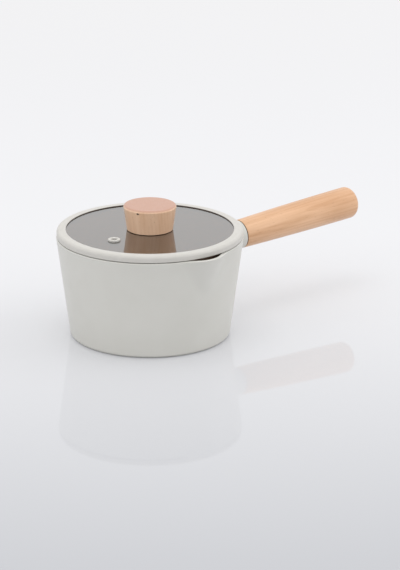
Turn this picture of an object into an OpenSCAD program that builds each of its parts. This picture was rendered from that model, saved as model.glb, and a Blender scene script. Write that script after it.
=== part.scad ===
// Saucepan with a flat glass lid. A tapered cast pan has two opposite pour spouts and
// a short collar that carries a round wooden handle. The lid is a glass disc held in a
// soft rim, with a steam vent and a wooden knob.
// Millimetres. +Z is up, the origin is the centre of the underside, +X runs along the handle.

/* [Pan] */
// outer radius of the wall at the rim
rim_r = 84.8; // [66:0.1:140]
// how far the wall leans out from the underside to the rim
flare = 12.1; // [4:0.1:24]
// height of the rim above the underside
pan_h = 92; // [50:0.5:160]
// horizontal thickness of the wall
wall_t = 3.2; // [2:0.1:6]
// thickness of the bottom
floor_t = 5; // [3:0.1:9]
// how much thicker the wall is at its upright mouth
mouth_extra = 1.4; // [0.5:0.1:3]
// rounding of the outer corner at the bottom
base_round = 3; // [0.5:0.1:8]
// rounding of the inner corner at the bottom
floor_round = 10; // [3:0.5:25]
// rounding of the rim's edges
edge_round = 0.8; // [0.2:0.1:1.2]
// width of the bare ring of the underside around the steel plate
plate_margin = 16.7; // [10:0.1:30]
// thickness of the steel plate
plate_t = 1.2; // [0.8:0.1:2.5]

/* [Spouts] */
// distance of a spout's own axis inside the rim
spout_in = 19.4; // [16:0.1:24]
// outer radius of a spout at the rim
spout_top_r = 25.9; // [24:0.1:30]
// height of a spout below the rim
spout_h = 34; // [20:0.5:40]
// horizontal thickness of a spout's wall
spout_wall = 2.9; // [2:0.1:4]

/* [Handle] */
// distance of the collar's end outside the rim
collar_len = 19.5; // [15:0.1:40]
// depth of the handle's axis below the rim, at the collar's end
collar_drop = 19.2; // [16:0.1:30]
// upward tilt of the handle in degrees
handle_tilt = 2.6; // [0:0.1:15]
// radius of the collar and of the handle's root
root_r = 13.3; // [10:0.1:15]
// length of the wooden handle
handle_len = 137.5; // [100:0.5:180]
// largest radius of the handle, near its end
grip_r = 15.15; // [12:0.05:22]
// rounding of the handle's end
end_round = 6; // [1:0.5:7]
// thickness of the dark gasket at the handle's root
gasket_t = 0.8; // [0.4:0.1:2]
// width of the square tenon that stops the handle turning
tenon_w = 13; // [10:0.1:15]
// length of the tenon
tenon_len = 9; // [5:0.5:15]
// shank radius of the long handle screw
bolt_r = 3; // [2.5:0.1:4]
// depth of the counterbore in the handle's end
counterbore_depth = 34; // [18:0.5:60]
// length of the plug that closes the counterbore
plug_len = 8; // [4:0.5:9]

/* [Lid] */
// gap between the resting lid and the rim
seat_gap = 0.3; // [0.2:0.05:0.6]
// how far the soft rim stands inside the pan's outer edge
lid_rim_inset = 0.5; // [0:0.1:2]
// width from the pan's outer edge to the soft rim's inner edge
lid_rim_w = 9; // [7:0.1:14]
// rounding of the soft rim's outer top edge
lid_rim_round = 3; // [0.5:0.1:4]
// radial play between the lid's skirt and the mouth
skirt_play = 0.8; // [0.3:0.1:2]
// depth of the skirt below its seat
skirt_h = 4; // [2:0.1:8]
// thickness of the soft rim under the glass
glass_seat = 1.5; // [0.8:0.1:4]
// thickness of the glass
glass_t = 4; // [3:0.1:6]
// depth of the glass below the top of the soft rim
glass_drop = 1; // [0.7:0.1:2]
// how far the glass reaches into the soft rim
glass_grip = 3.2; // [1.5:0.1:4]
// distance of the steam vent inside the soft rim's inner edge
vent_in = 29.1; // [12:0.1:40]
// direction of the steam vent, in degrees from the handle
vent_turn = 189.5; // [0:0.5:360]
// outer radius of the vent's upper flange
vent_r = 5.65; // [4.8:0.05:9]
// radius of the vent's hole
vent_hole_r = 2.85; // [1.5:0.05:3.2]

/* [Knob] */
// radius of the knob at its foot
knob_low_r = 20.9; // [14:0.1:30]
// radius of the knob at its top
knob_top_r = 23.9; // [14:0.1:35]
// height of the knob
knob_h = 23.1; // [15:0.1:40]
// rounding of the knob's top edge
knob_round = 2.8; // [0.5:0.1:5]
// thickness of the washer under the knob
pad_t = 0.3; // [0.2:0.1:2]
// how far the washer stands inside the knob's foot
pad_inset = 1.9; // [0.5:0.1:6]
// shank radius of the knob's screw
screw_r = 2.5; // [2:0.1:3]
// reach of the knob's screw into the knob
screw_reach = 10; // [6:0.5:12]

/* [Hidden] */
$fn = 96;
arc_steps = 8;
cut = 1;
base_r = rim_r - flare;
taper = atan(flare / pan_h);
mouth_r = rim_r - wall_t - mouth_extra;
mouth_z = pan_h * (1 - mouth_extra / flare);
plate_r = base_r - plate_margin;
plate_fit = 0.05;
spout_y = rim_r - spout_in;
spout_z = pan_h - spout_h;
spout_sink = 0.25;
spout_low_r = wall_r(spout_z) - spout_y - spout_sink;
spout_low_cut = 2;
collar_x = rim_r + collar_len;
collar_z = pan_h - collar_drop;
boss_low_z = collar_z - root_r - collar_len * sin(handle_tilt);
boss_back = (collar_x + root_r * sin(handle_tilt) - wall_r(boss_low_z) + wall_t / 2) / cos(handle_tilt);
boss_edge = 0.5;
tenon_play = 0.1;
tenon_end_play = 0.3;
hole_w = tenon_w + 2 * tenon_play;
handle_z1 = gasket_t + handle_len;
handle_steps = 20;
root_edge = 0.5;
bolt_play = 0.05;
bolt_bite = 14.5;
bolt_hole_extra = 2.5;
bolt_head_r = bolt_r + 2;
bolt_head_h = 6;
bolt_hex_r = bolt_r - 0.1;
bolt_hex_depth = 3;
bolt_washer_t = 1.2;
bolt_washer_play = 0.3;
bolt_shank_play = 0.2;
counterbore_r = bolt_head_r + 1.5;
counterbore_z = handle_z1 - counterbore_depth;
bolt_seat_z = counterbore_z + bolt_washer_t;
plug_fit = 0.04;
lid_rim_out_r = rim_r - lid_rim_inset;
lid_rim_in_r = rim_r - lid_rim_w;
glass_r = lid_rim_in_r + glass_grip;
lid_z0 = pan_h + seat_gap;
glass_z0 = lid_z0 + glass_seat;
glass_z1 = glass_z0 + glass_t;
lid_z1 = glass_z1 + glass_drop;
skirt_r = mouth_r - skirt_play;
skirt_t = 2.8;
skirt_round = 0.8;
lip_round = 0.6;
lip_low_in = 0.4;
vent_x = lid_rim_in_r - vent_in;
vent_bore_r = 4;
vent_neck_play = 0.05;
vent_top_h = 1.6;
vent_low_h = 1.4;
vent_low_r = 5.1;
vent_edge = 0.7;
pad_r = knob_low_r - pad_inset;
pad_neck_r = screw_r + 1.55;
pad_neck_h = glass_t - 0.4;
glass_hole_r = pad_neck_r + 0.05;
screw_play = 0.2;
thread_play = 0.05;
under_pad_r = 9;
under_pad_t = 0.8;
knob_washer_r = 8;
knob_washer_t = 1.2;
screw_head_r = screw_r + 2.1;
screw_head_h = 2.8;
screw_head_edge = 1.2;
cross_w = 1.1;
cross_len = 5;
cross_depth = 1.5;
insert_r = screw_r + 1.5;
insert_play = 0.03;
insert_bore_depth = screw_reach + 1;
insert_len = insert_bore_depth + 1;
knob_foot_round = 0.5;
knob_z0 = glass_z1 + pad_t;

coat = [0.86, 0.85, 0.82];
beech = [0.85, 0.67, 0.5];
steel = [0.7, 0.7, 0.72];
dark = [0.16, 0.14, 0.13];
smoke = [0.5, 0.48, 0.47, 0.6];
brass = [0.8, 0.65, 0.35];

// points of an arc about (x, z), from angle a0 to a1
function arc(x, z, r, a0, a1) = [for (i = [0 : arc_steps])
    let (a = a0 + (a1 - a0) * i / arc_steps) [x + r * cos(a), z + r * sin(a)]];

// outer radius of the wall at height z
function wall_r(z) = base_r + (rim_r - base_r) * z / pan_h;

// radius of the handle at the fraction u of its length
function handle_r(u) = root_r + (grip_r - root_r) * u * (2 - u);

// places children on the handle's axis, with +Z from the collar's end outwards
module along_handle() {
    translate([collar_x, 0, collar_z]) rotate([0, 90 - handle_tilt, 0]) children();
}

// outside of the pan as a solid of revolution
module pan_outside() {
    low_x = wall_r(base_round) - base_round / cos(taper);
    high_x = wall_r(pan_h - edge_round) - edge_round / cos(taper);
    rotate_extrude() polygon(concat([[0, 0]],
        arc(low_x, base_round, base_round, -90, -taper),
        arc(high_x, pan_h - edge_round, edge_round, -taper, 90),
        [[0, pan_h]]));
}

// room inside the pan, open above the rim
module pan_inside() {
    corner_z = floor_t + floor_round;
    corner_x = wall_r(corner_z) - wall_t - floor_round / cos(taper);
    rotate_extrude() polygon(concat([[0, floor_t]],
        arc(corner_x, corner_z, floor_round, -90, -taper),
        [[mouth_r, mouth_z]],
        arc(mouth_r + edge_round, pan_h - edge_round, edge_round, 180, 90),
        [[mouth_r + edge_round, pan_h + cut], [0, pan_h + cut]]));
}

// outside of one spout on the -Y side
module spout_outside() {
    slope = atan((spout_top_r - spout_low_r) / (pan_h - spout_z));
    top_x = spout_top_r - edge_round;
    translate([0, -spout_y, 0]) rotate_extrude() polygon(concat(
        [[0, spout_z], [spout_low_r, spout_z]],
        arc(top_x, pan_h - edge_round, edge_round, -slope, 90),
        [[0, pan_h]]));
}

// channel of one spout on the -Y side
module spout_inside() {
    rise = (spout_top_r - spout_low_r) / (pan_h - spout_z);
    low_z = spout_z + spout_low_cut;
    low_x = spout_low_r - spout_wall + spout_low_cut * rise;
    top_x = spout_top_r - spout_wall - edge_round * rise;
    translate([0, -spout_y, 0]) rotate_extrude() polygon(concat(
        [[0, low_z], [low_x, low_z]],
        arc(top_x + edge_round, pan_h - edge_round, edge_round, 180, 90),
        [[top_x + edge_round, pan_h + cut], [0, pan_h + cut]]));
}

module pan_body() {
    color(coat) difference() {
        union() {
            pan_outside();
            spout_outside();
            mirror([0, 1, 0]) spout_outside();
            along_handle() translate([0, 0, -boss_back]) cylinder(h = boss_back - boss_edge, r = root_r);
            along_handle() translate([0, 0, -boss_edge])
                cylinder(h = boss_edge, r1 = root_r, r2 = root_r - boss_edge);
            along_handle() translate([-tenon_w / 2, -tenon_w / 2, -cut])
                cube([tenon_w, tenon_w, tenon_len + cut]);
        }
        pan_inside();
        spout_inside();
        mirror([0, 1, 0]) spout_inside();
        translate([0, 0, -cut]) cylinder(h = plate_t + cut, r = plate_r + plate_fit);
        along_handle() translate([0, 0, -bolt_bite - bolt_hole_extra])
            cylinder(h = tenon_len + bolt_bite + bolt_hole_extra + cut, r = bolt_r + bolt_play);
    }
}

module induction_plate() {
    color(steel) cylinder(h = plate_t, r = plate_r);
}

module handle_gasket() {
    color(dark) along_handle() difference() {
        cylinder(h = gasket_t, r = root_r - boss_edge);
        translate([-hole_w / 2, -hole_w / 2, -cut]) cube([hole_w, hole_w, gasket_t + 2 * cut]);
    }
}

module handle() {
    hole_z = tenon_len + tenon_end_play;
    straight = handle_len - end_round;
    last_r = handle_r(straight / handle_len);
    color(beech) along_handle() difference() {
        translate([0, 0, gasket_t]) rotate_extrude() polygon(concat(
            [[0, 0], [root_r - root_edge, 0], [handle_r(root_edge / handle_len), root_edge]],
            [for (i = [1 : handle_steps]) let (z = straight * i / handle_steps)
                [handle_r(z / handle_len), z]],
            [for (i = [1 : arc_steps]) let (a = 90 * i / arc_steps)
                [last_r - end_round * (1 - cos(a)), straight + end_round * sin(a)]],
            [[0, handle_len]]));
        translate([-hole_w / 2, -hole_w / 2, 0]) cube([hole_w, hole_w, hole_z]);
        cylinder(h = counterbore_z + cut, r = bolt_r + bolt_shank_play);
        translate([0, 0, counterbore_z]) cylinder(h = handle_z1 - counterbore_z + cut, r = counterbore_r);
    }
}

module handle_bolt() {
    color(steel) along_handle() difference() {
        union() {
            translate([0, 0, -bolt_bite]) cylinder(h = bolt_seat_z + bolt_bite, r = bolt_r);
            translate([0, 0, bolt_seat_z]) cylinder(h = bolt_head_h, r = bolt_head_r);
        }
        translate([0, 0, bolt_seat_z + bolt_head_h - bolt_hex_depth])
            cylinder(h = bolt_hex_depth + cut, r = bolt_hex_r, $fn = 6);
    }
}

module bolt_washer() {
    color(steel) along_handle() translate([0, 0, counterbore_z]) difference() {
        cylinder(h = bolt_washer_t, r = counterbore_r - bolt_washer_play);
        translate([0, 0, -cut]) cylinder(h = bolt_washer_t + 2 * cut, r = bolt_r + bolt_shank_play);
    }
}

module end_plug() {
    color(beech) along_handle() translate([0, 0, handle_z1 - plug_len])
        cylinder(h = plug_len, r = counterbore_r - plug_fit);
}

module lid_glass() {
    color(smoke) translate([0, 0, glass_z0]) difference() {
        cylinder(h = glass_t, r = glass_r);
        translate([0, 0, -cut]) cylinder(h = glass_t + 2 * cut, r = glass_hole_r);
        rotate([0, 0, vent_turn]) translate([vent_x, 0, -cut])
            cylinder(h = glass_t + 2 * cut, r = vent_bore_r);
    }
}

module lid_rim() {
    foot_z = lid_z0 - skirt_h;
    skirt_in = skirt_r - skirt_t;
    color(coat) rotate_extrude() polygon(concat(
        [[skirt_r, lid_z0], [lid_rim_out_r, lid_z0]],
        arc(lid_rim_out_r - lid_rim_round, lid_z1 - lid_rim_round, lid_rim_round, 0, 90),
        arc(lid_rim_in_r + lip_round, lid_z1 - lip_round, lip_round, 90, 180),
        [[lid_rim_in_r, glass_z1], [glass_r, glass_z1], [glass_r, glass_z0]],
        [[lid_rim_in_r + lip_low_in, glass_z0], [skirt_in, lid_z0]],
        arc(skirt_in + skirt_round, foot_z + skirt_round, skirt_round, 180, 270),
        arc(skirt_r - skirt_round, foot_z + skirt_round, skirt_round, 270, 360)));
}

module vent_grommet() {
    neck_r = vent_bore_r - vent_neck_play;
    color(coat) rotate([0, 0, vent_turn]) translate([vent_x, 0, 0]) rotate_extrude() polygon(concat(
        [[vent_hole_r, glass_z0 - vent_low_h], [vent_low_r, glass_z0 - vent_low_h]],
        [[vent_low_r, glass_z0], [neck_r, glass_z0], [neck_r, glass_z1], [vent_r, glass_z1]],
        arc(vent_r - vent_edge, glass_z1 + vent_top_h - vent_edge, vent_edge, 0, 90),
        arc(vent_hole_r + vent_edge, glass_z1 + vent_top_h - vent_edge, vent_edge, 90, 180)));
}

module knob() {
    side = atan((knob_top_r - knob_low_r) / knob_h);
    color(beech) translate([0, 0, knob_z0]) difference() {
        rotate_extrude() polygon(concat([[0, 0]],
            arc(knob_low_r - knob_foot_round, knob_foot_round, knob_foot_round, -90, -side),
            arc(knob_top_r - knob_round, knob_h - knob_round, knob_round, -side, 90),
            [[0, knob_h]]));
        translate([0, 0, -cut]) cylinder(h = insert_len + cut, r = insert_r + insert_play);
    }
}

module knob_insert() {
    color(brass) translate([0, 0, knob_z0]) difference() {
        cylinder(h = insert_len, r = insert_r);
        translate([0, 0, -cut]) cylinder(h = insert_bore_depth + cut, r = screw_r + thread_play);
    }
}

module knob_pad() {
    color(dark) difference() {
        union() {
            translate([0, 0, glass_z1]) cylinder(h = pad_t, r = pad_r);
            translate([0, 0, glass_z1 - pad_neck_h]) cylinder(h = pad_neck_h + pad_t / 2, r = pad_neck_r);
        }
        translate([0, 0, glass_z0 - cut]) cylinder(h = glass_t + pad_t + 2 * cut, r = screw_r + screw_play);
    }
}

module under_pad() {
    color(dark) translate([0, 0, glass_z0 - under_pad_t]) difference() {
        cylinder(h = under_pad_t, r = under_pad_r);
        translate([0, 0, -cut]) cylinder(h = under_pad_t + 2 * cut, r = screw_r + screw_play);
    }
}

module knob_washer() {
    color(steel) translate([0, 0, glass_z0 - under_pad_t - knob_washer_t]) difference() {
        cylinder(h = knob_washer_t, r = knob_washer_r);
        translate([0, 0, -cut]) cylinder(h = knob_washer_t + 2 * cut, r = screw_r + screw_play);
    }
}

module knob_screw() {
    seat_z = glass_z0 - under_pad_t - knob_washer_t;
    head_z = seat_z - screw_head_h;
    color(steel) difference() {
        union() {
            rotate_extrude() polygon(concat([[0, head_z]],
                arc(screw_head_r - screw_head_edge, head_z + screw_head_edge, screw_head_edge, -90, 0),
                [[screw_head_r, seat_z], [0, seat_z]]));
            translate([0, 0, seat_z - cut]) cylinder(h = knob_z0 + screw_reach - seat_z + cut, r = screw_r);
        }
        translate([-cross_len / 2, -cross_w / 2, head_z - cut]) cube([cross_len, cross_w, cross_depth + cut]);
        translate([-cross_w / 2, -cross_len / 2, head_z - cut]) cube([cross_w, cross_len, cross_depth + cut]);
    }
}

pan_body();
induction_plate();
handle_gasket();
handle();
handle_bolt();
bolt_washer();
end_plug();
lid_glass();
lid_rim();
vent_grommet();
knob();
knob_insert();
knob_pad();
under_pad();
knob_washer();
knob_screw();
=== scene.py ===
"""Looks of the saucepan with a glass lid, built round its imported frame.

The pan is cast metal with a pale satin coating, the handle and the knob are beech, and the lid
is smoke glass in a soft pale rim. Sizes are in millimetres until a mesh is made.
"""
import math

import bpy
import numpy as np
from mathutils import Matrix, Vector


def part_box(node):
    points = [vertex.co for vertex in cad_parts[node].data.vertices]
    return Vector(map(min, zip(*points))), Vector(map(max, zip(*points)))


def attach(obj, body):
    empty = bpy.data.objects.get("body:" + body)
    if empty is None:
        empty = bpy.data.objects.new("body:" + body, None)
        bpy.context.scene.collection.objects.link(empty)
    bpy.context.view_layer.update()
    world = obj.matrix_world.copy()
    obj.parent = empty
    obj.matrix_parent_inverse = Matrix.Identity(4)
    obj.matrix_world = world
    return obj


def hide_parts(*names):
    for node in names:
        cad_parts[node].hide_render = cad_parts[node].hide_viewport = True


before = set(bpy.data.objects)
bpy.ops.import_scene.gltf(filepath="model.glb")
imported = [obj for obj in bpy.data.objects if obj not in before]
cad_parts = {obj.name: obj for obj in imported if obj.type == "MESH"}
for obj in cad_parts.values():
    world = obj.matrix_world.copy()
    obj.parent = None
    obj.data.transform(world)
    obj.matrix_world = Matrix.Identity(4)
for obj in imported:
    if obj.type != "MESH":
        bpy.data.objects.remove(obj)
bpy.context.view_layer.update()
MM = 0.001


def box_mm(node):
    """Lowest and highest corners of a CAD node at rest, in millimetres."""
    low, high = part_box(node)
    return np.array(low) / MM, np.array(high) / MM


# ---------------------------------------------------------------- sizes
PAN_HIGH = box_mm("pan_body")[1]
RIM_LOW, RIM_HIGH = box_mm("lid_rim")
GLASS_LOW, GLASS_HIGH = box_mm("lid_glass")
VENT_LOW, VENT_HIGH = box_mm("vent_grommet")
KNOB_LOW, KNOB_HIGH = box_mm("knob")
PAD_HIGH = box_mm("knob_pad")[1]
PLATE_HIGH = box_mm("induction_plate")[1]
WASHER_LOW, WASHER_HIGH = box_mm("knob_washer")
UNDER_LOW, UNDER_HIGH = box_mm("under_pad")

PAN_H = PAN_HIGH[2]
LID_RIM_R = RIM_HIGH[0]
# a hair less than the solid's 0.5, so that the pan's skin stays inside the solid's box
LID_INSET = 0.48
RIM_R = LID_RIM_R + LID_INSET
FLARE = 12.1
BASE_R = RIM_R - FLARE
WALL_T = 3.2
FLOOR_T = 5.0
MOUTH_EXTRA = 1.4
MOUTH_R = RIM_R - WALL_T - MOUTH_EXTRA
BASE_ROUND = 3.0
FLOOR_ROUND = 10.0
EDGE_ROUND = 0.8
SPOUT_Y = RIM_R - 19.4
SPOUT_TOP_R = PAN_HIGH[1] - SPOUT_Y
SPOUT_Z = PAN_H - 34.0
SPOUT_SINK = 0.25
SPOUT_LOW_R = BASE_R + FLARE * SPOUT_Z / PAN_H - SPOUT_Y - SPOUT_SINK
SPOUT_WALL = 2.9
SPOUT_BLEND = 6.0
SPOUT_FADE_Z = 46.0

COLLAR_X = RIM_R + 19.5
COLLAR_Z = PAN_H - 19.2
HANDLE_TILT = math.radians(2.6)
ROOT_R = 13.3
GRIP_R = 15.15
HANDLE_LEN = 137.5
END_ROUND = 6.0
GASKET_T = 0.8
GASKET_IN = 0.5
COLLAR_FILLET = 2.5
COLLAR_EDGE = 0.5
COLLAR_SINK = 1.4
HANDLE_ROOT_EDGE = 0.45
HANDLE_HOLE_EDGE = 0.25
COUNTERBORE_R = 6.5
PLUG_LEN = 8.0
PLUG_R = 6.46
PLUG_EDGE = 0.3
GASKET_HOLE_R = 9.4
SCREW_HOLE_R = 2.7

LID_ROUND = 3.0
LIP_ROUND = 0.6
RIM_UNDERCUT = 0.5
LID_IN_R = RIM_R - 9.0
SKIRT_R = MOUTH_R - 0.8
SKIRT_T = 2.8
SKIRT_ROUND = 0.8
VENT_HOLE_R = 2.85
VENT_NECK_R = 3.95
VENT_FOOT_R = 5.1
VENT_EDGE = 0.7
KNOB_ROUND = 2.2
KNOB_FOOT_ROUND = 0.5
KNOB_LOW_R = 20.9
KNOT_TURN = math.radians(-155.0)
KNOT_R = 23.6
KNOB_KNOT = (KNOT_R * math.cos(KNOT_TURN), KNOT_R * math.sin(KNOT_TURN), KNOB_HIGH[2] - 3.0)
END_GRAIN_LOW = KNOB_HIGH[2] - 1.6
END_GRAIN_HIGH = KNOB_HIGH[2] - 0.4

WALL_SLOPE = FLARE / PAN_H
TAPER = math.atan(WALL_SLOPE)
LID_SEAT = PAN_H + 0.3
PLATE_GAP = 0.05
PLATE_EDGE = 0.15
GROOVE_RADII = (46.0, 31.0, 16.0)
GROOVE_HALF = 0.75
GROOVE_DEPTH = 0.35 * GROOVE_HALF
TABLE_HALF = 9.0
TABLE_GAP = 0.0002
TABLE_GLOW = 0.25


# ---------------------------------------------------------------- meshes
SHARP_ANGLE = math.radians(32.0)


def skin(name, grid, material, body, nodes, ring=False):
    """Mesh piece from grid[i, j]: i runs along the profile, j round the axis and closes up.

    With ring the profile closes up too. Otherwise its first and last rows are poles, one vertex
    each. The faces are turned outwards by the sign of the volume they enclose, and shading is
    smooth, kept sharp where faces meet at more than SHARP_ANGLE.
    """
    rows, cols = grid.shape[:2]
    index = np.arange(rows * cols).reshape(rows, cols)
    if not ring:
        index[0] = index[0, 0]
        index[-1] = index[-1, 0]
    lower = index if ring else index[:-1]
    upper = np.roll(index, -1, axis=0) if ring else index[1:]
    quads = np.stack([lower, np.roll(lower, -1, 1), np.roll(upper, -1, 1), upper], -1).reshape(-1, 4)
    points = grid.reshape(-1, 3) * MM
    used, packed = np.unique(quads, return_inverse=True)
    quads = packed.reshape(-1, 4)
    points = points[used]
    corners = points[quads]
    volume = np.einsum("ij,ij->i", corners[:, 0], np.cross(corners[:, 1], corners[:, 2])).sum()
    volume += np.einsum("ij,ij->i", corners[:, 0], np.cross(corners[:, 2], corners[:, 3])).sum()
    if volume < 0:
        quads = quads[:, ::-1]
    faces = [list(dict.fromkeys(face)) for face in quads.tolist()]
    mesh = bpy.data.meshes.new(name)
    mesh.from_pydata(points, [], faces)
    mesh.shade_smooth()
    mesh.set_sharp_from_angle(angle=SHARP_ANGLE)
    mesh.materials.append(material)
    piece = bpy.data.objects.new(name, mesh)
    bpy.context.scene.collection.objects.link(piece)
    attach(piece, body)
    if nodes:
        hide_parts(*nodes)


def line(start, end, count=8):
    """Points from start to end, closer together near both ends so that smooth shading stays flat."""
    t = (1 - np.cos(np.linspace(0, math.pi, count))) / 2
    return np.array(start) + np.outer(t, np.subtract(end, start))


def arc(centre, radius, start, end, count=9):
    """Points of a circle about centre from angle start to end, in degrees."""
    a = np.radians(np.linspace(start, end, count))
    return np.array(centre) + radius * np.stack([np.cos(a), np.sin(a)], -1)


def revolve(profile, cols=240, centre=(0.0, 0.0)):
    """Grid of profile (radius, height) turned about the upright line through centre."""
    a = np.linspace(0, 2 * math.pi, cols, endpoint=False)
    r, z = profile[:, :1], profile[:, 1:]
    return np.stack([centre[0] + r * np.cos(a), centre[1] + r * np.sin(a), z + 0 * a], -1)


def on_handle(grid):
    """Turns a grid built about +Z from the collar's end so that its +Z runs along the handle."""
    across, side, along = grid[..., 0], grid[..., 1], grid[..., 2]
    c, s = math.cos(HANDLE_TILT), math.sin(HANDLE_TILT)
    return np.stack([COLLAR_X + along * c - across * s, side, COLLAR_Z + along * s + across * c], -1)


# ---------------------------------------------------------------- shader maths
class Signal:
    """A number in a material: arithmetic on it adds Math nodes to the tree."""

    def __init__(self, shader, socket):
        self.shader = shader
        self.socket = socket

    def math(self, operation, *others):
        values = {i: v for i, v in enumerate((self, *others))}
        return self.shader.node("ShaderNodeMath", {"operation": operation}, values, 0)

    def __add__(self, other):
        return self.math("ADD", other)

    __radd__ = __add__

    def __mul__(self, other):
        return self.math("MULTIPLY", other)

    __rmul__ = __mul__

    def __sub__(self, other):
        return self.math("SUBTRACT", other)

    def __rsub__(self, other):
        return (self * -1.0) + other


class Shader:
    """One material's node tree."""

    def __init__(self, name):
        self.material = bpy.data.materials.new(name)
        self.material.use_nodes = True
        self.tree = self.material.node_tree
        self.tree.nodes.clear()

    def node(self, kind, settings=None, inputs=None, output=None):
        """Adds a node: settings first, then values or links of its sockets, by name or number.

        Returns output (a name or number) as a Signal, or the node itself.
        """
        made = self.tree.nodes.new(kind)
        for key, value in (settings or {}).items():
            setattr(made, key, value)
        for key, value in (inputs or {}).items():
            socket = made.inputs[key]
            if isinstance(value, Signal):
                self.tree.links.new(value.socket, socket)
            elif isinstance(value, (tuple, list)) and len(value) == 3 and socket.type == "RGBA":
                socket.default_value = (*value, 1.0)
            else:
                socket.default_value = value
        return made if output is None else Signal(self, made.outputs[output])

    def mapping(self, where, **change):
        """Coordinates with one Location, Rotation or Scale, or several at once."""
        return self.node("ShaderNodeMapping", None, {"Vector": where, **change}, 0)

    def place(self, scale=(1, 1, 1), turn=(0, 0, 0), shift=(0, 0, 0)):
        """Object coordinates, shifted, then turned, then scaled."""
        raw = self.node("ShaderNodeTexCoord", None, None, "Object")
        turned = self.mapping(self.mapping(raw, Location=shift), Rotation=turn)
        return self.mapping(turned, Scale=scale)

    def along(self, where, stretch):
        """Coordinates scaled by stretch along Z, so that a pattern grows longer that way."""
        return self.mapping(where, Scale=(1, 1, stretch))

    def part(self, where, axis):
        """One coordinate, X, Y or Z."""
        return Signal(self, self.node("ShaderNodeSeparateXYZ", None, {0: where}).outputs[axis])

    def reach(self, where):
        """Distance of the coordinates from their origin."""
        return self.node("ShaderNodeVectorMath", {"operation": "LENGTH"}, {0: where}, "Value")

    def noise(self, where, scale, detail=2.0, roughness=0.5):
        """Noise between 0 and 1 at that scale per metre."""
        return self.node("ShaderNodeTexNoise", None,
                         {"Vector": where, "Scale": scale, "Detail": detail, "Roughness": roughness}, "Fac")

    def spread(self, value, low, high, to_low=0.0, to_high=1.0):
        """Value mapped from low..high to to_low..to_high, smoothly and clamped."""
        return self.node("ShaderNodeMapRange", {"interpolation_type": "SMOOTHSTEP", "clamp": True},
                         {"Value": value, "From Min": low, "From Max": high,
                          "To Min": to_low, "To Max": to_high}, "Result")

    def blend(self, factor, first, second):
        """Colour first where factor is 0 and second where it is 1."""
        return self.node("ShaderNodeMix", {"data_type": "RGBA"}, {0: factor, 6: first, 7: second}, 2)

    def bump(self, height, distance, strength):
        """Normal bumped by height times distance in metres."""
        return self.node("ShaderNodeBump", None,
                         {"Height": height, "Distance": distance, "Strength": strength}, "Normal")

    def finish(self, surface):
        """Links surface to the output and returns the material."""
        self.node("ShaderNodeOutputMaterial", None, {"Surface": surface})
        return self.material

    def principled(self, **inputs):
        """Principled surface: underscores in names stand for spaces."""
        named = {key.replace("_", " "): value for key, value in inputs.items()}
        return self.node("ShaderNodeBsdfPrincipled", None, named, "BSDF")


# ---------------------------------------------------------------- materials
def coated_metal():
    """Pale satin ceramic coating: faint cloudiness, orange peel, and softer gloss in patches.

    Painted contact shade darkens it towards the foot, over the height of its rounded lower edge.
    """
    s = Shader("pale_coating")
    where = s.place()
    cloud = s.noise(where, 22.0, 3.0)
    peel = s.noise(where, 900.0, 2.0)
    patch = s.noise(where, 60.0, 3.0)
    colour = s.blend(s.spread(cloud, 0.3, 0.7), (0.596, 0.590, 0.552), (0.618, 0.612, 0.576))
    # painted contact shade: the coat darkens over its lowest 3.4 mm, where the pan meets the table
    foot = s.spread(s.part(where, "Z"), 0.0, 3.4 * MM, 1.0, 0.0)
    colour = s.blend(foot * foot, colour, (0.34, 0.345, 0.31))
    return s.finish(s.principled(
        Base_Color=colour, Roughness=s.spread(patch, 0.2, 0.8, 0.34, 0.40), IOR=1.6,
        Normal=s.bump(peel, 0.00004, 0.12)))


def pale_silicone(name, lip_r=None):
    """Soft pale rubber: matte, faintly mottled, with a fine moulded skin.

    With lip_r, painted shade darkens the upright face of radius lip_r, where the lip meets the smoke
    glass, and all that lies under the lid's seat, standing in for the shadow inside the pan.
    """
    s = Shader(name)
    where = s.place()
    mottle = s.noise(where, 80.0, 4.0)
    skin_grain = s.noise(where, 2500.0, 2.0)
    colour = s.blend(s.spread(mottle, 0.3, 0.7), (0.545, 0.531, 0.498), (0.569, 0.555, 0.524))
    if lip_r:
        # painted shade: the lip's upright face at lip_r turns dark where it meets the glass
        lip = s.spread(s.reach(s.place(scale=(1, 1, 0))), (lip_r + 0.05) * MM, (lip_r + 0.3) * MM, 1.0, 0.0)
        colour = s.blend(lip, colour, (0.10, 0.075, 0.06))
        # painted shade: everything below the lid's seat turns dark brown, as in the shadow inside the pan
        under = s.spread(s.part(where, "Z"), (LID_SEAT - 0.6) * MM, (LID_SEAT - 0.1) * MM, 1.0, 0.0)
        colour = s.blend(under, colour, (0.13, 0.080, 0.055))
    return s.finish(s.principled(
        Base_Color=colour, Roughness=s.spread(mottle, 0.2, 0.8, 0.42, 0.52), IOR=1.45,
        Sheen_Weight=0.15, Sheen_Roughness=0.5, Normal=s.bump(skin_grain, 0.00003, 0.4)))


def dark_silicone():
    """Nearly black rubber of the washers and gasket."""
    s = Shader("dark_silicone")
    where = s.place()
    mottle = s.noise(where, 400.0, 3.0)
    colour = s.blend(mottle, (0.018, 0.015, 0.013), (0.035, 0.030, 0.027))
    return s.finish(s.principled(Base_Color=colour, Roughness=s.spread(mottle, 0.2, 0.8, 0.55, 0.7),
                                 Normal=s.bump(mottle, 0.00003, 0.5)))


def smoke_glass():
    """Smoke-tinted tempered glass: dark in depth, with a strong clear reflection and faint ripple."""
    s = Shader("smoke_glass")
    where = s.place()
    ripple = s.noise(where, 14.0, 2.0)
    smear = s.noise(where, 45.0, 4.0, 0.6)
    normal = s.bump(ripple, 0.0004, 0.25)
    return s.finish(s.principled(
        Base_Color=(0.16, 0.085, 0.04), Transmission_Weight=1.0, IOR=1.5,
        Roughness=s.spread(smear, 0.3, 0.8, 0.0, 0.03), Normal=normal,
        Coat_Weight=1.0, Coat_IOR=1.6, Coat_Roughness=0.0))


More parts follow.
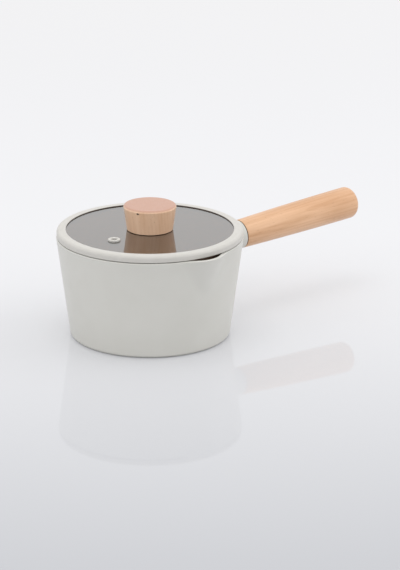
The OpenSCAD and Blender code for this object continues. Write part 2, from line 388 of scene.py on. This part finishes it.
def beech(name, turn, shift, light, dark, fleck_colour, cut_end=False):
    """Lacquered beech with its grain along local +Z once the piece is turned and shifted.

    Growth rings are the distance from a pith line beside the piece, warped by noise; streaks and
    short ray flecks are noise stretched along the grain. With cut_end the colour turns to end
    grain between END_GRAIN_LOW and END_GRAIN_HIGH, and one small dark pin knot sits at KNOB_KNOT.
    """
    s = Shader(name)
    where = s.place(turn=turn, shift=shift)
    warp = s.noise(s.along(where, 0.12), 26.0, 3.0)
    pith = s.reach(s.mapping(where, Location=(0.031, 0.047, 0), Scale=(1, 1, 0.02)))
    rings = ((pith + warp * 0.009) * 330.0).math("FRACT")
    late = s.spread(rings, 0.35, 0.95) * (1 - s.spread(rings, 0.95, 1.0))
    streak = s.noise(s.along(where, 0.03), 420.0, 4.0, 0.6)
    broad = s.noise(s.along(where, 0.13), 75.0, 3.0)
    dash = s.noise(s.along(where, 0.16), 1500.0, 1.0)
    fleck = s.spread(dash, 0.66, 0.78)
    tone = late * 0.22 + s.spread(streak, 0.3, 0.7) * 0.28 + s.spread(broad, 0.36, 0.64) * 0.5
    wood = s.blend(tone, light, dark)
    colour = s.blend(fleck * 0.45, wood, fleck_colour)
    if cut_end:
        cut_face = s.spread(s.part(s.place(), "Z"), END_GRAIN_LOW * MM, END_GRAIN_HIGH * MM)
        pores = s.noise(s.place(), 1800.0, 2.0)
        end_grain = s.blend(s.spread(pores, 0.3, 0.7), (0.540, 0.312, 0.227), (0.495, 0.278, 0.200))
        colour = s.blend(cut_face, colour, end_grain)
        from_knot = s.reach(s.place(scale=(1, 1, 1.5), shift=[-v * MM for v in KNOB_KNOT]))
        colour = s.blend(s.spread(from_knot, 0.9 * MM, 1.6 * MM, 1.0, 0.0), colour, (0.030, 0.012, 0.007))
    height = streak * 0.6 + fleck * -0.6
    return s.finish(s.principled(
        Base_Color=colour, Roughness=s.spread(streak, 0.2, 0.8, 0.42, 0.54), IOR=1.45,
        Coat_Weight=0.35, Coat_Roughness=0.22,
        Normal=s.bump(height, 0.00006, 0.6)))


def turned_steel():
    """Lathe-turned stainless steel: fine rings about the upright axis, varying gloss."""
    s = Shader("turned_steel")
    radius = s.reach(s.place(scale=(1, 1, 0)))
    tick = s.noise(s.node("ShaderNodeCombineXYZ", None, {"X": radius}, 0), 1500.0, 3.0, 0.7)
    stain = s.noise(s.place(), 40.0, 3.0)
    colour = s.blend(s.spread(stain, 0.3, 0.7), (0.56, 0.56, 0.565), (0.62, 0.62, 0.62))
    return s.finish(s.principled(
        Base_Color=colour, Metallic=1.0, Roughness=s.spread(tick, 0.3, 0.7, 0.26, 0.40),
        Normal=s.bump(tick, 0.00003, 0.5)))


def brass():
    """Plain turned brass of the threaded insert."""
    s = Shader("brass")
    wear = s.noise(s.place(), 600.0, 3.0)
    colour = s.blend(wear, (0.70, 0.50, 0.22), (0.78, 0.60, 0.32))
    return s.finish(s.principled(
        Base_Color=colour, Metallic=1.0, Roughness=s.spread(wear, 0.2, 0.8, 0.25, 0.4)))


COAT = coated_metal()
SILICONE = pale_silicone("vent_silicone")
RIM_SILICONE = pale_silicone("rim_silicone", LID_IN_R)
RUBBER = dark_silicone()
GLASS = smoke_glass()
STEEL = turned_steel()
BRASS = brass()
GRAIN_TURN = HANDLE_TILT - math.pi / 2
HANDLE_WOOD = beech("handle_beech", (0, GRAIN_TURN, 0), (0, 0, -COLLAR_Z * MM),
                    (0.75, 0.470, 0.288), (0.555, 0.298, 0.150), (0.36, 0.17, 0.08))
PLUG_WOOD = beech("plug_beech", (0.4, GRAIN_TURN, 0), (0, 0.004, -COLLAR_Z * MM),
                  (0.72, 0.45, 0.29), (0.58, 0.34, 0.20), (0.33, 0.16, 0.075))
KNOB_WOOD = beech("knob_beech", (0.05, 0.12, 0.9), (0, 0, -PAN_H * MM),
                  (0.87, 0.60, 0.42), (0.745, 0.47, 0.295), (0.36, 0.19, 0.10), cut_end=True)


# ---------------------------------------------------------------- the pan
def wall_r(z):
    """Outer radius of the plain wall at height z: the base radius plus the slope times z."""
    return BASE_R + WALL_SLOPE * z


def spout_r(z):
    """Outer radius of a spout about its own upright axis at height z.

    It grows evenly from SPOUT_LOW_R at SPOUT_Z to SPOUT_TOP_R at the rim.
    """
    return SPOUT_LOW_R + (SPOUT_TOP_R - SPOUT_LOW_R) * (z - SPOUT_Z) / (PAN_H - SPOUT_Z)


ROOT_STEPS = 34
OUTLINE_IN = 1.0
OUTLINE_OUT = 14.0


def plan_radius(z, turn, plain, spout):
    """Distance from the axis, in direction turn, to the outline at height z.

    The outline is where a smooth union of two discs ends: the plain wall's disc, of radius plain,
    and a spout's disc, of radius spout about (0, -SPOUT_Y) or its mirror. The union is the
    polynomial smooth minimum of the two distances, and the root is found by halving the span
    from OUTLINE_IN inside the plain wall to OUTLINE_OUT outside it.
    """
    width = SPOUT_BLEND * np.clip((z - SPOUT_FADE_Z) / (PAN_H - SPOUT_FADE_Z), 0.02, 1.0)
    low = plain - OUTLINE_IN + 0 * turn
    high = plain + OUTLINE_OUT + 0 * turn
    for _ in range(ROOT_STEPS):
        r = (low + high) / 2
        wall_gap = r - plain
        spout_gap = np.hypot(r * np.cos(turn), np.abs(r * np.sin(turn)) - SPOUT_Y) - spout
        h = np.clip(0.5 + 0.5 * (wall_gap - spout_gap) / width, 0.0, 1.0)
        gap = wall_gap + (spout_gap - wall_gap) * h - width * h * (1 - h)
        low = np.where(gap < 0, r, low)
        high = np.where(gap < 0, high, r)
    return (low + high) / 2


def ring_rows(r, z, turn):
    """Rows of radius and height, each spread over every direction in turn."""
    return np.stack([r + 0 * turn, z + 0 * turn])


def pan_grid(cols=600):
    """Closed skin of the pan: underside, outside, rim, inside and floor, one row after another.

    Rows below the wall are plain circles. A wall row at height z has the radius of plan_radius,
    and the rows over the rim are a quarter circle in from the outer wall's last row and another
    out from the inner wall's first row.
    """
    turn = np.linspace(0, 2 * math.pi, cols, endpoint=False)
    sec = 1 / math.cos(TAPER)
    plate_r = PLATE_HIGH[0] + PLATE_GAP
    low_x = wall_r(BASE_ROUND) - BASE_ROUND * sec
    corner_z = FLOOR_T + FLOOR_ROUND
    corner_x = wall_r(corner_z) - WALL_T - FLOOR_ROUND * sec
    taper = math.degrees(TAPER)
    under = np.concatenate([
        line((0, PLATE_HIGH[2]), (plate_r, PLATE_HIGH[2]), 6),
        line((plate_r, 0.12), (plate_r, 0.05), 2),
        line((plate_r + 0.1, 0), (low_x, 0), 6), arc((low_x, BASE_ROUND), BASE_ROUND, -88, -taper, 10)])
    floor = np.concatenate([
        arc((corner_x, corner_z), FLOOR_ROUND, -taper, -90, 14),
        line((corner_x, FLOOR_T), (0, FLOOR_T), 14)[1:]])
    top_z = PAN_H - EDGE_ROUND
    out_z = line((0, under[-1, 1]), (0, top_z), 44)[1:, 1]
    in_z = line((0, top_z), (0, corner_z), 44)[:-1, 1]
    rows = [ring_rows(under[:, :1], under[:, 1:], turn)]
    outer = plan_radius(out_z[:, None], turn, wall_r(out_z)[:, None], spout_r(out_z)[:, None])
    rows.append(ring_rows(outer, out_z[:, None], turn))
    plain_in = np.minimum(wall_r(in_z) - WALL_T, MOUTH_R)
    inner = plan_radius(in_z[:, None], turn, plain_in[:, None], spout_r(in_z)[:, None] - SPOUT_WALL)
    quarter = np.radians(np.linspace(0, 90, 8))[1:, None]
    for edge, away, bend in ((outer[-1], -1, quarter), (inner[0], 1, quarter[::-1])):
        rim = edge + away * EDGE_ROUND * (1 - np.cos(bend))
        rows.append(ring_rows(rim, top_z + EDGE_ROUND * np.sin(bend), turn))
    rows.append(ring_rows(inner, in_z[:, None], turn))
    rows.append(ring_rows(floor[:, :1], floor[:, 1:], turn))
    r, z = np.concatenate(rows, axis=1)
    return np.stack([r * np.cos(turn), r * np.sin(turn), z], -1)


NEWTON_STEPS = 12


def collar_grid(cols=160):
    """Closed skin of the cast collar, from its end face back through a fillet into the wall.

    In the handle's frame a point at radius r and angle a meets the wall at a depth found by
    Newton steps on the wall's cone. The fillet rows lie a quarter circle off that depth, so the
    skin leaves the wall tangent to it, and the last rows close it COLLAR_SINK inside the wall.
    """
    turn = np.linspace(0, 2 * math.pi, cols, endpoint=False)

    def depth(radius):
        along = np.full(radius.shape, RIM_R - COLLAR_X - COLLAR_FILLET)
        for _ in range(NEWTON_STEPS):
            p = on_handle(np.stack([radius * np.cos(turn), radius * np.sin(turn), along], -1))
            along = along - (np.hypot(p[..., 0], p[..., 1]) - wall_r(p[..., 2]))
        return along

    edge = COLLAR_EDGE
    face = np.concatenate([
        line((0, 0), (ROOT_R - edge, 0), 5), arc((ROOT_R - edge, -edge), edge, 90, 0, 6)[1:]])
    rows = [ring_rows(face[:, :1], face[:, 1:], turn)]
    straight = depth(np.full((1, cols), ROOT_R)) + COLLAR_FILLET
    share = line((0, 0), (1, 1), 10)[1:, :1]
    rows.append(np.stack([np.full((len(share), cols), ROOT_R), -edge + (straight + edge) * share]))
    bend = np.radians(np.linspace(0, 90, 10))[1:, None] + 0 * turn
    radius = ROOT_R + COLLAR_FILLET * (1 - np.cos(bend))
    rows.append(np.stack([radius, depth(radius) + COLLAR_FILLET * (1 - np.sin(bend))]))
    inside = (ROOT_R + COLLAR_FILLET) * np.linspace(1, 0, 8)[:, None] + 0 * turn
    rows.append(np.stack([inside, depth(inside) - COLLAR_SINK]))
    r, z = np.concatenate(rows, axis=1)
    return on_handle(np.stack([r * np.cos(turn), r * np.sin(turn), z], -1))


def plate_profile():
    """Profile of the steel plate in the underside, with three shallow turned grooves.

    Each groove is half an ellipse, GROOVE_HALF to either side of its radius and GROOVE_DEPTH deep,
    between two flat lands.
    """
    radius, top = PLATE_HIGH[0], PLATE_HIGH[2]
    edge = PLATE_EDGE
    near, far = 1.2 * GROOVE_HALF, 1.6 * GROOVE_HALF
    bowl = arc((0.0, 0.0), 1.0, 0, 180, 9) * [GROOVE_HALF, GROOVE_DEPTH]
    steps = [line((0, top), (radius, top), 4), line((radius, top), (radius, edge), 3), [[radius - edge, 0.0]]]
    for groove in GROOVE_RADII:
        steps.append(line((groove + far, 0.0), (groove + near, 0.0), 2))
        steps.append(bowl + [groove, 0.0])
        steps.append(line((groove - near, 0.0), (groove - far, 0.0), 2))
    steps.append(line((2.0, 0.0), (0.0, 0.0), 3))
    return np.concatenate(steps)


def make_pan():
    """The cast pan, its collar and the plate in its underside."""
    skin("pan_shell", pan_grid(), COAT, "pan", ["pan_body"])
    skin("pan_collar", collar_grid(), COAT, "pan", [])
    skin("base_plate", revolve(plate_profile()), STEEL, "pan", ["induction_plate"])


# ---------------------------------------------------------------- the handle
def handle_r(z):
    """Radius of the handle at z along it: a parabola from the root to the fullest place."""
    u = z / HANDLE_LEN
    return ROOT_R + (GRIP_R - ROOT_R) * u * (2 - u)


def handle_profile():
    """Outside of the handle from its root face to the closed floor of the hole in its end."""
    straight = HANDLE_LEN - END_ROUND
    edge, lip = HANDLE_ROOT_EDGE, HANDLE_HOLE_EDGE
    z = np.linspace(edge + 0.05, straight, 50)
    last = handle_r(straight)
    hole = COUNTERBORE_R
    parts = [
        line((0, 0), (ROOT_R - edge, 0), 5), arc((ROOT_R - edge, edge), edge, -70, -10, 4),
        np.stack([handle_r(z), z], -1), arc((last - END_ROUND, straight), END_ROUND, 4, 90, 16),
        line((last - END_ROUND, HANDLE_LEN), (hole + lip, HANDLE_LEN), 6)[1:],
        arc((hole + lip, HANDLE_LEN - lip), lip, 90, 180, 5)[1:],
        line((hole, HANDLE_LEN - lip - 0.05), (hole, HANDLE_LEN - PLUG_LEN), 4),
        line((hole, HANDLE_LEN - PLUG_LEN), (0, HANDLE_LEN - PLUG_LEN), 4)[1:]]
    profile = np.concatenate(parts)
    return profile + [0, GASKET_T]


def flat_ring(inner, outer, low, high):
    """Closed section of a flat ring with square edges."""
    return np.concatenate([line((inner, low), (outer, low), 3), line((outer, high), (inner, high), 3)])


def make_handle():
    """The beech handle, the plug in its end and the dark gasket at its root.

    The plug's end is very slightly domed and its edge rounded, so that it shows in the wood.
    """
    wood = on_handle(revolve(handle_profile(), 200))
    skin("handle_wood", wood, HANDLE_WOOD, "pan", ["handle"])
    top = HANDLE_LEN + GASKET_T
    plug = np.concatenate([
        line((0, top - PLUG_LEN + 0.1), (PLUG_R, top - PLUG_LEN + 0.1), 4),
        line((PLUG_R, top - PLUG_LEN + 0.5), (PLUG_R, top - 0.5), 5),
        arc((PLUG_R - PLUG_EDGE, top - PLUG_EDGE - 0.05), PLUG_EDGE, 0, 90, 6),
        line((PLUG_R - 0.5, top - 0.03), (0, top), 8)])
    skin("handle_plug", on_handle(revolve(plug, 120)), PLUG_WOOD, "pan", ["end_plug"])
    ring_r = ROOT_R - GASKET_IN
    gasket = on_handle(revolve(flat_ring(GASKET_HOLE_R, ring_r, 0.0, GASKET_T), 160))
    skin("gasket_ring", gasket, RUBBER, "pan", ["handle_gasket"], ring=True)


# ---------------------------------------------------------------- the lid
def rim_profile():
    """Closed section of the soft rim: seat, rounded outside, lip over the glass, groove and skirt."""
    top, foot = RIM_HIGH[2], RIM_LOW[2]
    glass_top, glass_low, glass_r = GLASS_HIGH[2], GLASS_LOW[2], GLASS_HIGH[0]
    skirt_in = SKIRT_R - SKIRT_T
    return np.concatenate([
        [[LID_RIM_R - 2.4, LID_SEAT], [LID_RIM_R - 2.2, LID_SEAT + RIM_UNDERCUT]],
        arc((LID_RIM_R - 0.25, LID_SEAT + RIM_UNDERCUT + 0.25), 0.25, -90, 0, 4),
        line((LID_RIM_R, LID_SEAT + RIM_UNDERCUT + 0.4), (LID_RIM_R, top - LID_ROUND), 5)[:-1],
        arc((LID_RIM_R - LID_ROUND, top - LID_ROUND), LID_ROUND, 0, 90, 14),
        line((LID_RIM_R - LID_ROUND, top), (LID_IN_R + LIP_ROUND, top), 6)[1:-1],
        arc((LID_IN_R + LIP_ROUND, top - LIP_ROUND), LIP_ROUND, 90, 180, 9),
        [[LID_IN_R, glass_top]], line((glass_r, glass_top), (glass_r, glass_low), 3),
        [[LID_IN_R + 0.4, glass_low], [skirt_in, LID_SEAT]],
        arc((skirt_in + SKIRT_ROUND, foot + SKIRT_ROUND), SKIRT_ROUND, 180, 270, 7),
        arc((SKIRT_R - SKIRT_ROUND, foot + SKIRT_ROUND), SKIRT_ROUND, 270, 360, 7),
        line((SKIRT_R, foot + SKIRT_ROUND + 0.2), (SKIRT_R, LID_SEAT), 4)])


def vent_profile():
    """Closed section of the steam vent: lower flange, neck, rounded upper flange, hole."""
    centre_x = (VENT_LOW[0] + VENT_HIGH[0]) / 2
    flange = VENT_HIGH[0] - centre_x
    low, high = VENT_LOW[2], VENT_HIGH[2]
    glass_top, glass_low = GLASS_HIGH[2], GLASS_LOW[2]
    hole, edge, neck, lower = VENT_HOLE_R, VENT_EDGE, VENT_NECK_R, VENT_FOOT_R
    return np.concatenate([
        arc((hole + 0.3, low + 0.3), 0.3, 180, 270, 4), arc((lower - 0.4, low + 0.4), 0.4, 270, 360, 5),
        [[lower, glass_low], [neck, glass_low], [neck, glass_top], [flange, glass_top]],
        arc((flange - edge, high - edge), edge, 0, 90, 8), arc((hole + edge, high - edge), edge, 90, 180, 8)])


def knob_profile():
    """Section of the knob: flat foot, straight flaring side and rounded top edge."""
    low, high = KNOB_LOW[2], KNOB_HIGH[2]
    top_r = KNOB_HIGH[0]
    side = math.degrees(math.atan((top_r - KNOB_LOW_R) / (high - low)))
    foot = KNOB_LOW_R - KNOB_FOOT_ROUND
    crown = top_r - KNOB_ROUND
    return np.concatenate([
        line((0, low), (foot, low), 6),
        arc((foot, low + KNOB_FOOT_ROUND), KNOB_FOOT_ROUND, -90, -side, 8)[1:],
        line((KNOB_LOW_R + 0.02, low + KNOB_FOOT_ROUND), (top_r - 0.15, high - KNOB_ROUND), 12)[1:-1],
        arc((crown, high - KNOB_ROUND), KNOB_ROUND, -side, 90, 14), line((crown, high), (0, high), 12)[1:]])


def washer_section(inner, outer, low, high, edge=0.15):
    """Closed section of a flat washer with small rounded edges."""
    return np.concatenate([
        arc((inner + edge, low + edge), edge, 180, 270, 3),
        arc((outer - edge, low + edge), edge, 270, 360, 4),
        arc((outer - edge, high - edge), edge, 0, 90, 4),
        arc((inner + edge, high - edge), edge, 90, 180, 3)])


def make_lid():
    """The soft rim, the steam vent, the knob and the washers that show."""
    centre = (VENT_LOW[:2] + VENT_HIGH[:2]) / 2
    pad = flat_ring(SCREW_HOLE_R, PAD_HIGH[0], GLASS_HIGH[2], PAD_HIGH[2])
    under = washer_section(SCREW_HOLE_R, UNDER_HIGH[0], UNDER_LOW[2], UNDER_HIGH[2])
    washer = washer_section(SCREW_HOLE_R, WASHER_HIGH[0], WASHER_LOW[2], WASHER_HIGH[2], 0.25)
    pieces = (
        ("rim_ring", revolve(rim_profile(), 480), RIM_SILICONE, "lid_rim", "pale_silicone", True),
        ("vent_ring", revolve(vent_profile(), 96, centre), SILICONE, "vent_grommet", "pale_silicone", True),
        ("knob_wood", revolve(knob_profile(), 240), KNOB_WOOD, "knob", "beech", False),
        ("knob_seal", revolve(pad, 160), RUBBER, "knob_pad", "dark_silicone", True),
        ("under_seal", revolve(under, 120), RUBBER, "under_pad", "dark_silicone", True),
        ("screw_washer", revolve(washer, 120), STEEL, "knob_washer", "steel", True))
    for name, grid, material, node, slot, ring in pieces:
        skin(name, grid, material, "lid", [node], ring)


def dress_nodes():
    """Gives the CAD pieces that stay shown their finishes."""
    finishes = {"lid_glass": GLASS, "handle_bolt": STEEL, "bolt_washer": STEEL, "knob_insert": BRASS,
                "knob_screw": STEEL}
    for name, material in finishes.items():
        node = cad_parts[name]
        for place in node.material_slots:
            place.material = material


# ---------------------------------------------------------------- the stage
CAMERA_REACH = 2.2410
CAMERA_HEIGHT = 0.7982
CAMERA_LENS = 164.2
CAMERA_ROUND = math.radians(37.49)
CAMERA_YAW = math.radians(1.16)
CAMERA_PITCH = math.radians(18.59)
CAMERA_ROLL = math.radians(0.21)


def make_camera():
    """Camera at CAMERA_REACH from the pan's axis, turned CAMERA_ROUND from square to the handle."""
    data = bpy.data.cameras.new("camera")
    data.sensor_width = 36.0
    data.lens = CAMERA_LENS
    data.clip_end = 50.0
    heading = CAMERA_YAW + CAMERA_ROUND
    forward = Vector((math.sin(heading) * math.cos(CAMERA_PITCH), math.cos(heading) * math.cos(CAMERA_PITCH),
                      -math.sin(CAMERA_PITCH)))
    right = Vector((math.cos(heading), -math.sin(heading), 0.0))
    up = right.cross(forward)
    c, s = math.cos(CAMERA_ROLL), math.sin(CAMERA_ROLL)
    x_axis = c * right + s * up
    y_axis = c * up - s * right
    turn = Matrix((x_axis, y_axis, -forward)).transposed()
    place = Vector((-CAMERA_REACH * math.sin(CAMERA_ROUND), -CAMERA_REACH * math.cos(CAMERA_ROUND),
                    CAMERA_HEIGHT))
    camera = bpy.data.objects.new("camera", data)
    camera.matrix_world = Matrix.Translation(place) @ turn.to_4x4()
    bpy.context.scene.collection.objects.link(camera)
    bpy.context.scene.camera = camera


def make_floor():
    """A wide pale glossy table, paler further away: its darker tone near the camera is painted shade, for the
    light falling off towards the front.

    A TABLE_GLOW share of what the camera sees of it, straight or in a mirror, is its own even
    tone, so that the soft shadows on it stay light.
    """
    s = Shader("pale_table")
    away = s.part(s.place(turn=(0, 0, CAMERA_ROUND)), "Y")
    # painted shade: the table's colour darkens towards the camera, where the light falls off
    near = s.blend(s.spread(away, -0.9, 0.35), (0.435, 0.447, 0.477), (0.760, 0.764, 0.788))
    tone = s.blend(s.spread(away, 0.5, 1.8), near, (0.80, 0.80, 0.815))
    gloss = s.principled(Base_Color=tone, Roughness=0.03, IOR=1.40)
    straight = s.node("ShaderNodeLightPath", None, None, "Is Camera Ray")
    mirrored = s.node("ShaderNodeLightPath", None, None, "Is Glossy Ray")
    seen = straight.math("MAXIMUM", mirrored)
    even = s.node("ShaderNodeEmission", None, {"Color": tone, "Strength": 1.0}, 0)
    material = s.finish(s.node("ShaderNodeMixShader", None, {0: seen * TABLE_GLOW, 1: gloss, 2: even}, 0))
    corners = [(x * TABLE_HALF, y * TABLE_HALF, 0) for x, y in ((-1, -1), (1, -1), (1, 1), (-1, 1))]
    mesh = bpy.data.meshes.new("table")
    mesh.from_pydata(corners, [], [(0, 1, 2, 3)])
    mesh.materials.append(material)
    table = bpy.data.objects.new("table", mesh)
    table.location.z = -TABLE_GAP
    bpy.context.scene.collection.objects.link(table)


LAMP_AIM = Vector((0.0, 0.0, 0.06))


def soft_box(name, place, size, power):
    """A square soft light at place, aimed at the pan and left out of mirror reflections."""
    data = bpy.data.lights.new(name, "AREA")
    data.shape = "SQUARE"
    data.size = size
    data.energy = power
    lamp = bpy.data.objects.new(name, data)
    lamp.location = place
    lamp.visible_glossy = False
    lamp.rotation_euler = (LAMP_AIM - Vector(place)).to_track_quat("-Z", "Y").to_euler()
    bpy.context.scene.collection.objects.link(lamp)


def make_light():
    """An even pale room, one soft light overhead and two at the sides of the camera."""
    world = bpy.data.worlds.new("room")
    world.use_nodes = True
    back = world.node_tree.nodes["Background"]
    back.inputs["Color"].default_value = (1.0, 0.995, 0.99, 1.0)
    back.inputs["Strength"].default_value = 1.0
    bpy.context.scene.world = world
    soft_box("top_light", (-0.15, 0.1, 1.7), 0.9, 4.0)
    soft_box("left_light", (-2.4, -0.4, 1.4), 2.2, 11.0)
    soft_box("right_light", (2.0, -1.4, 1.4), 2.2, 17.0)


make_pan()
make_handle()
make_lid()
dress_nodes()
make_camera()
make_floor()
make_light()
bpy.context.scene.view_settings.view_transform = "Standard"
